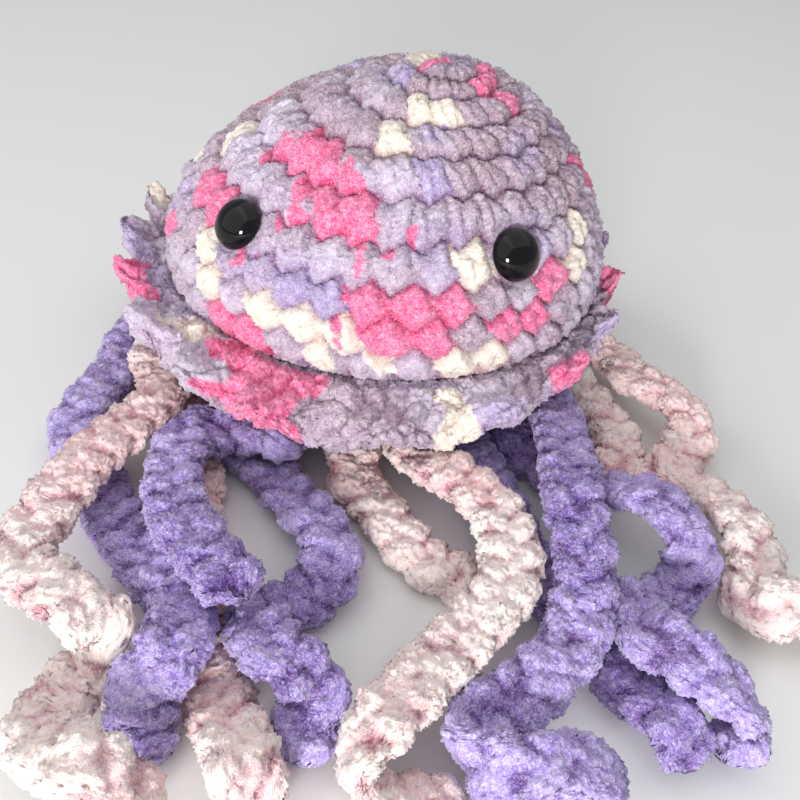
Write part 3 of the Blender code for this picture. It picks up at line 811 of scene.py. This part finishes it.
def makeBase():
    bm = bmesh.new()
    outer = alongOutline(baseOutline(0, 40), np.linspace(0, 1, base["levels"]))
    inner = alongOutline(baseOutline(base["wall"], 40), np.linspace(1, 0, 12))
    profile = [bm.verts.new((0, -radius, height)) for radius, height in np.concatenate([outer, inner])]
    edges = [bm.edges.new(pair) for pair in zip(profile, profile[1:])]
    spinRound(bm, profile + edges, base["steps"])
    bmesh.ops.remove_doubles(bm, verts=bm.verts, dist=0.01 * mm)
    bmesh.ops.recalc_face_normals(bm, faces=bm.faces)
    isTip = splitForPile(bm, bm.faces[:])
    verts = list(bm.verts)
    places = placesOf(verts)
    normals = normalsOf(bm, verts)
    radius = np.hypot(places[:, 0], places[:, 1])
    azimuth = np.arctan2(places[:, 0], -places[:, 1])
    outside = (places * normals).sum(axis=1) - base["topZ"] * normals[:, 2] * 0.6 > 0
    rounds = base["rounds"] * radius / base["outerRadius"]
    row = np.floor(rounds)
    phase = azimuth / (2 * math.pi) * np.maximum(6, 6 * row + 6) + 0.37 * row
    height = dome(fraction(rounds), 2.4) * (0.5 + 0.5 * dome(fraction(phase), 2.4))
    relief = base["relief"] * (height - 0.9) * outside
    moveTo(verts, places + normals * relief[:, None])
    colours = blend(yarns["lavender"], yarns["greyLilac"], 0.5 + 0.5 * softNoise(places, 9 * mm, 31))
    tuft = growPile(bm, isTip & outside, base, 32)
    flat = placesOf(verts)
    flat[:, 2] = np.maximum(flat[:, 2], 0.02 * mm)
    moveTo(verts, flat)
    paintYarnAndShade(bm, shadeYarn(colours, isTip, height + 0.1, tuft, 33))
    return bm


finishPiece("crocheted_base", makeBase(), "base", chenille("base_chenille"))


def copyOf(node):  # the node's mesh, with its loose triangles joined
    bm = bmesh.new()
    bm.from_mesh(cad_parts[node].data)
    bmesh.ops.remove_doubles(bm, verts=bm.verts, dist=0.02 * mm)
    return bm


def fibreFill():
    made, tree, shader, place = newMaterial("fibre_filling")
    tufts = place.noise(240.0, 5.0)
    # Painted shade: the white is darker where the bump's tufts are low
    shade = 0.62 + tufts * 0.45
    white = place.node("ShaderNodeCombineColor", None, Red=shade, Green=shade, Blue=shade * 0.97)
    tree.links.new(white.outputs[0], shader.inputs["Base Color"])
    bump = place.node("ShaderNodeBump", None, Strength=0.6, Distance=1 * mm, Height=tufts)
    tree.links.new(bump.outputs[0], shader.inputs["Normal"])
    shader.inputs["Roughness"].default_value = 1
    shader.inputs["Sheen Weight"].default_value = 0.3
    return made


def makeFilling():
    bm = copyOf("stuffing")
    bmesh.ops.subdivide_edges(bm, edges=bm.edges[:], cuts=2, use_grid_fill=True)
    verts = list(bm.verts)
    places = placesOf(verts)
    normals = normalsOf(bm, verts)
    lumps = 0.8 * mm * (softNoise(places, 9 * mm, 41) - 1)
    moveTo(verts, places + normals * lumps[:, None])
    return bm


filling = finishPiece("soft_filling", makeFilling(), "stuffing", fibreFill())

# The eyes
eye = {
    "radius": head["eyeRadius"],
    "bulge": 6.4 * mm,
    "sink": 1.4 * mm,
    "rim": 0.7 * mm,
    "postRadius": 2 * mm,
    "postLength": 12 * mm,
    "steps": 64,
}


def makeEye(side):
    angle = np.linspace(0, math.pi / 2, 20)
    profile = [(0, -eye["postLength"]), (eye["postRadius"], -eye["postLength"]), (eye["postRadius"], 0)]
    profile += [(eye["radius"] - eye["rim"], 0)]
    rise = eye["bulge"] - eye["rim"]
    profile += [(eye["radius"] * math.cos(a), eye["rim"] + rise * math.sin(a)) for a in angle]
    bm = bmesh.new()
    verts = [bm.verts.new((max(0, radius), 0, height)) for radius, height in profile]
    edges = [bm.edges.new(pair) for pair in zip(verts, verts[1:])]
    spinRound(bm, verts + edges, eye["steps"])
    bmesh.ops.remove_doubles(bm, verts=bm.verts, dist=0.005 * mm)
    bmesh.ops.recalc_face_normals(bm, faces=bm.faces)
    bmesh.ops.transform(bm, matrix=eyeSeat(side) @ Matrix.Translation((0, 0, -eye["sink"])), verts=bm.verts)
    return bm


def satinPlastic(name):
    made, tree, shader, place = newMaterial(name)
    speck = place.noise(500.0, 2.0)
    tree.links.new((0.4 + speck * 0.2).socket, shader.inputs["Roughness"])
    shader.inputs["Base Color"].default_value = (0.85, 0.84, 0.80, 1)
    return made


for side in head["eyeAzimuths"]:
    material = gloss(side + "_eye_gloss", (0.004, 0.004, 0.005), 0.05)
    finishPiece(side + "_safety_eye", makeEye(side), side + "_eye", material)
    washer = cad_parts[side + "_eye_washer"]
    washer.data.materials.clear()
    washer.data.materials.append(satinPlastic(side + "_washer_satin"))


def plainPale(name, colour):
    made = bpy.data.materials.new(name)
    made.use_nodes = True
    shader = made.node_tree.nodes["Principled BSDF"]
    shader.inputs["Base Color"].default_value = (*colour, 1)
    shader.inputs["Roughness"].default_value = 0.9
    shader.inputs["Specular IOR Level"].default_value = 0.1
    return made


def makeFloor():
    bm = bmesh.new()
    bmesh.ops.create_grid(bm, x_segments=1, y_segments=1, size=3)
    data = bpy.data.meshes.new("floor")
    bm.to_mesh(data)
    bm.free()
    data.materials.append(plainPale("pale_floor", linear(240, 240, 237)))
    made = bpy.data.objects.new("floor", data)
    bpy.context.scene.collection.objects.link(made)


makeFloor()

lamps = (  # name, place, aimed at, size, watts
    ("keyLamp", (-0.10, -0.85, 0.20), (0, -0.05, 0.05), 0.16, 5.0),
    ("fillLamp", (-0.65, -0.45, 0.8), (0, -0.05, 0.04), 1.8, 6.0),
    ("topLamp", (0.25, 0.2, 1.1), (0, -0.05, 0.05), 1.8, 5.0),
)
for name, place, aim, size, watts in lamps:
    data = bpy.data.lights.new(name, "AREA")
    data.size = size
    data.energy = watts
    lamp = bpy.data.objects.new(name, data)
    lamp.location = place
    lamp.rotation_euler = (Vector(aim) - Vector(place)).to_track_quat("-Z", "Y").to_euler()
    bpy.context.scene.collection.objects.link(lamp)

world = bpy.data.worlds.new("studio")
bpy.context.scene.world = world
world.use_nodes = True
world.node_tree.nodes["Background"].inputs["Color"].default_value = (0.92, 0.94, 1.0, 1)
world.node_tree.nodes["Background"].inputs["Strength"].default_value = 0.36

camera = {"pitch": 38, "roll": 6.2, "fieldOfView": 48, "place": (10.5 * mm, -267 * mm, 181 * mm)}
pitch = math.radians(camera["pitch"])
roll = math.radians(camera["roll"])
forward = Vector((0, math.cos(pitch), -math.sin(pitch)))
upright = Vector((0, math.sin(pitch), math.cos(pitch)))
right = Vector((1, 0, 0)) * math.cos(roll) + upright * math.sin(roll)
upward = Vector((1, 0, 0)) * -math.sin(roll) + upright * math.cos(roll)
cameraData = bpy.data.cameras.new("camera")
cameraData.sensor_fit = "HORIZONTAL"
cameraData.angle = math.radians(camera["fieldOfView"])
cameraData.clip_start = 0.005
cameraObject = bpy.data.objects.new("camera", cameraData)
turned = Matrix((right, upward, -forward)).transposed().to_4x4()
cameraObject.matrix_world = Matrix.Translation(camera["place"]) @ turned
bpy.context.scene.collection.objects.link(cameraObject)
bpy.context.scene.camera = cameraObject
bpy.context.scene.view_settings.view_transform = "Standard"
